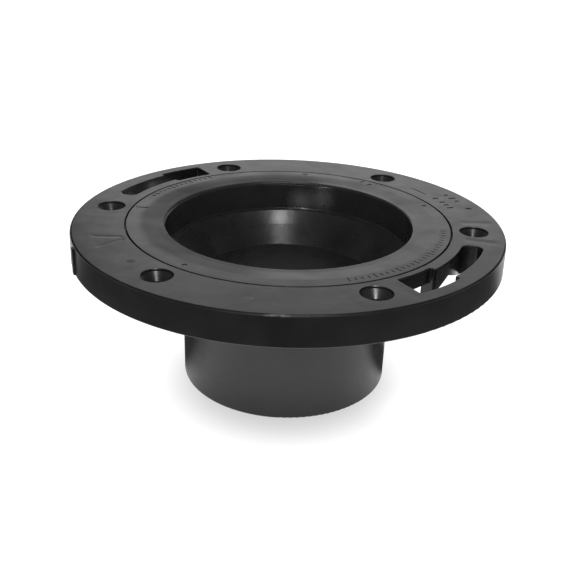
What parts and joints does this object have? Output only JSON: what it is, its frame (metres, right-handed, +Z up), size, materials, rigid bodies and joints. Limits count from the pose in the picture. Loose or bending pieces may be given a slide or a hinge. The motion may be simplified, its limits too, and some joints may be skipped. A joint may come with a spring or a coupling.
{
  "type": "toilet flange",
  "caption": "Black plastic closet flange: a swivelling ring with bolt slots and screw holes around a hub whose throat funnels down to a pipe-size spigot.",
  "frame": {"origin": "centre of the spigot's lower end, on the axis that the hub and the ring share", "axes": "+Z up along the drain axis, out of the throat towards the toilet; +X and +Y across the flange, with the ring shown turned 6.3 degrees clockwise from a screw hole on +X"},
  "size_m": [0.1778, 0.1778, 0.0694],
  "materials": {
    "hub_plastic": "moulded black drain plastic, satin sheen, glossy inside the bore",
    "ring_plastic": "moulded black plastic, fine matt grain on top, satin on the walls"
  },
  "bodies": {
    "hub": {"flange_hub": "hub_plastic"},
    "ring": {"swivel_ring": "ring_plastic"}
  },
  "joints": [
    {"name": "ring_swivel", "type": "hinge", "parent": "hub", "child": "ring", "pos_m": [0, 0, 0.0694], "axis": [0, 0, 1], "continuous": true}
  ]
}
